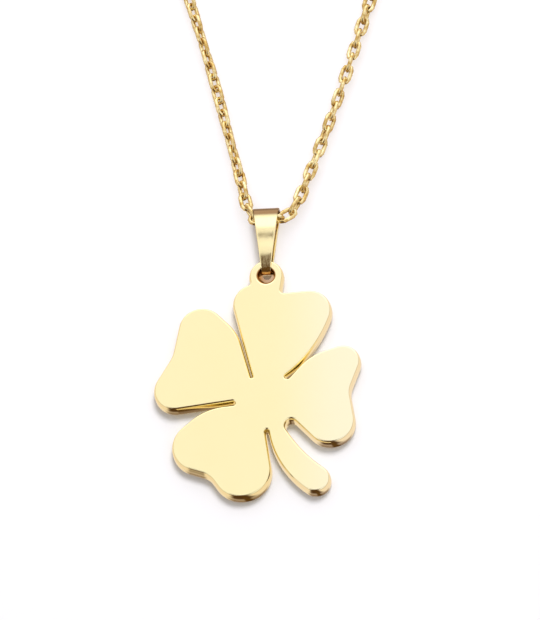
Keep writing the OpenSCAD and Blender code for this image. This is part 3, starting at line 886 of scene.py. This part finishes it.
class PENDANT_OT_stage(bpy.types.Operator):
    """Pale floor, white surroundings with darker zones for the gold, one soft lamp and the camera."""

    bl_idname = "pendant.stage"
    bl_label = "Stage"

    def execute(self, context):
        """The floor is a square, and the camera looks down on the pendant from its foot's side."""
        scene, looks = context.scene, context.scene.stage_looks
        self.lay_floor(scene, looks)
        self.light_surroundings(scene, looks)
        self.hang_lamp(scene, looks)
        self.set_camera(scene, looks)
        scene.view_settings.view_transform = "Standard"
        return {"FINISHED"}

    def lay_floor(self, scene, looks):
        """A square just below the surface that the necklace lies on, with a faint tooth.

        The gold doesn't mirror it: it is clear for mirrored rays, which see the surroundings below
        the horizon in its place."""
        half = looks.floor_size / 2
        mesh = bpy.data.meshes.new("floor")
        corners = np.array([[-1, -1], [1, -1], [1, 1], [-1, 1]]) * half
        mesh.from_pydata([(x, y, FLOOR_Z) for x, y in corners], [], [(0, 1, 2, 3)])
        material = bpy.data.materials.new("pale_floor")
        material.use_nodes = True
        n = Nodes(material.node_tree)
        where = n.add("ShaderNodeTexCoord").outputs["Object"]
        tooth = n.add("ShaderNodeTexNoise", {"Vector": where, "Scale": 3000.0, "Detail": 2.0})
        bump = n.add("ShaderNodeBump", {
            "Height": tooth.outputs["Fac"], "Strength": 0.3, "Distance": 0.01 * MM
        })
        shader = n.add("ShaderNodeBsdfPrincipled", {
            "Base Color": (*looks.floor_colour, 1), "Roughness": 0.7, "Specular IOR Level": 0.2,
            "Normal": bump.outputs[0],
        })
        clear = n.add("ShaderNodeBsdfTransparent")
        mirrored = n.add("ShaderNodeLightPath").outputs["Is Glossy Ray"]
        seen = n.add("ShaderNodeMixShader", {0: mirrored, 1: shader.outputs[0], 2: clear.outputs[0]})
        n.add("ShaderNodeOutputMaterial", {"Surface": seen.outputs[0]})
        mesh.materials.append(material)
        floor = bpy.data.objects.new("floor", mesh)
        scene.collection.objects.link(floor)

    def light_surroundings(self, scene, looks):
        """White above and brighter low at the back, with darker sides near the horizon, a dark
        column at the front, a narrow dark strip over the top, and below the horizon the colours
        that the gold mirrors in place of the floor. It is a little stronger as the gold mirrors it.

        Each zone is a product of smooth steps of the cosine to a direction."""
        world = bpy.data.worlds.new("white_studio")
        world.use_nodes = True
        scene.world = world
        n = Nodes(world.node_tree)
        where = n.add("ShaderNodeTexCoord").outputs["Generated"]

        def towards(direction, edge):
            """1 near a direction and 0 away from it, between two cosines."""
            dot = n.add("ShaderNodeVectorMath", {0: where, 1: tuple(direction)}, operation="DOT_PRODUCT")
            return n.smooth_step(dot.outputs["Value"], *edge)

        def times(a, b):
            """The product of two zones, which is where they overlap."""
            return n.add("ShaderNodeMath", {0: a, 1: b}, operation="MULTIPLY").outputs[0]

        turn = looks.camera_azimuth
        front = Vector((math.sin(turn), -math.cos(turn), 0))
        beside = Vector((math.cos(turn), math.sin(turn), 0))

        def tilted(lean, rise):
            """To the right, tilted to the front and up."""
            return beside + lean * front + Vector((0, 0, rise))

        bright = towards((0.0, math.cos(BRIGHT_HEIGHT), math.sin(BRIGHT_HEIGHT)), BRIGHT_EDGE)
        across, along = tilted(*COLUMN_TILT), tilted(*STRIP_TILT)
        within = times(towards(across, COLUMN_RIGHT), towards(across, COLUMN_LEFT))
        column = times(times(within, towards(front, COLUMN_FRONT)), towards(UP, COLUMN_FOOT))
        strip = times(towards(along, STRIP_RIGHT), towards(along, STRIP_LEFT))
        strip = times(strip, times(towards(front, STRIP_BACK), towards(front, STRIP_FRONT)))
        sides = times(towards(DOWN, SIDES_EDGE), towards((0, -1, 0), SIDES_BACK))
        facing = times(within, towards(front, BELOW_FRONT))
        under = n.mixed(facing, looks.below, looks.below_front)
        under = n.mixed(times(facing, towards(DOWN, BELOW_STEEP)), under, looks.below_steep)
        colour = n.mixed(bright, (1.0, 1.0, 1.0), [looks.sky_bright] * 3)
        colour = n.mixed(sides, colour, looks.sky_sides)
        colour = n.mixed(towards(DOWN, BELOW_EDGE), colour, under)
        colour = n.mixed(column, colour, looks.column)
        colour = n.mixed(strip, colour, looks.strip)
        path = n.add("ShaderNodeLightPath")
        strength = n.add("ShaderNodeMapRange", {
            "Value": path.outputs["Is Glossy Ray"], "To Min": looks.sky_light, "To Max": looks.sky_mirrored
        })
        background = n.add("ShaderNodeBackground", {"Color": colour, "Strength": strength.outputs[0]})
        n.add("ShaderNodeOutputWorld", {"Surface": background.outputs[0]})

    def hang_lamp(self, scene, looks):
        """One large soft lamp, up on the right and behind, that only lights and isn't mirrored."""
        lamp = bpy.data.lights.new("soft_lamp", "AREA")
        lamp.shape = "DISK"
        lamp.size = looks.lamp_size
        lamp.energy = looks.lamp_power
        hung = bpy.data.objects.new("soft_lamp", lamp)
        turn = (LAMP_PLACE - LAMP_AIM).to_track_quat("Z", "Y").to_matrix().to_4x4()
        hung.matrix_world = Matrix.Translation(LAMP_PLACE) @ turn
        hung.visible_glossy = False
        scene.collection.objects.link(hung)

    def set_camera(self, scene, looks):
        """A long lens that looks at the middle of the picture, with the pendant's length upright."""
        away = camera_direction(looks)
        length_way = Vector((0, 1, 0))
        upright = (length_way - away * length_way.dot(away)).normalized()
        right = upright.cross(away)
        camera = bpy.data.cameras.new("camera")
        camera.sensor_fit = "VERTICAL"
        camera.sensor_height = SENSOR_MM
        camera.lens = camera.sensor_height * looks.camera_distance / looks.view_height
        camera.clip_start = 0.01
        holder = bpy.data.objects.new("camera", camera)
        turn = Matrix((right, upright, away)).transposed().to_4x4()
        holder.matrix_world = Matrix.Translation(CAMERA_AIM + away * looks.camera_distance) @ turn
        scene.collection.objects.link(holder)
        scene.camera = holder


class PENDANT_PT_panel(bpy.types.Panel):
    """Sidebar panel with the sizes, the looks and one button for each piece."""

    bl_idname = "PENDANT_PT_panel"
    bl_label = "Clover pendant"
    bl_space_type = "VIEW_3D"
    bl_region_type = "UI"
    bl_category = "Clover pendant"

    def draw(self, context):
        """Lists every property of every group, then the operators."""
        for group in GROUPS:
            box = self.layout.box()
            box.label(text=group.replace("_", " ").capitalize())
            held = getattr(context.scene, group)
            for name in held.bl_rna.properties.keys():
                if name not in ("rna_type", "name"):
                    box.prop(held, name)
        for operator in OPERATORS:
            self.layout.operator(operator.bl_idname)


GROUPS = {
    "pendant_sizes": PendantSizes,
    "bail_sizes": BailSizes,
    "chain_sizes": ChainSizes,
    "gold_looks": GoldLooks,
    "stage_looks": StageLooks,
}
OPERATORS = (
    PENDANT_OT_clover,
    PENDANT_OT_bail,
    PENDANT_OT_chain,
    PENDANT_OT_clasp,
    PENDANT_OT_stage,
)
CLASSES = (*GROUPS.values(), *OPERATORS, PENDANT_PT_panel)


def register():
    """Registers the classes and hangs each property group on the scene."""
    for item in CLASSES:
        bpy.utils.register_class(item)
    for name, group in GROUPS.items():
        setattr(bpy.types.Scene, name, PointerProperty(type=group))


def unregister():
    """Takes the property groups off the scene and unregisters the classes."""
    for name in GROUPS:
        delattr(bpy.types.Scene, name)
    for item in reversed(CLASSES):
        bpy.utils.unregister_class(item)


def main():
    register()
    bpy.ops.pendant.clover()
    bpy.ops.pendant.bail()
    bpy.ops.pendant.chain()
    bpy.ops.pendant.clasp()
    bpy.ops.pendant.stage()


if __name__ == "__main__":
    main()
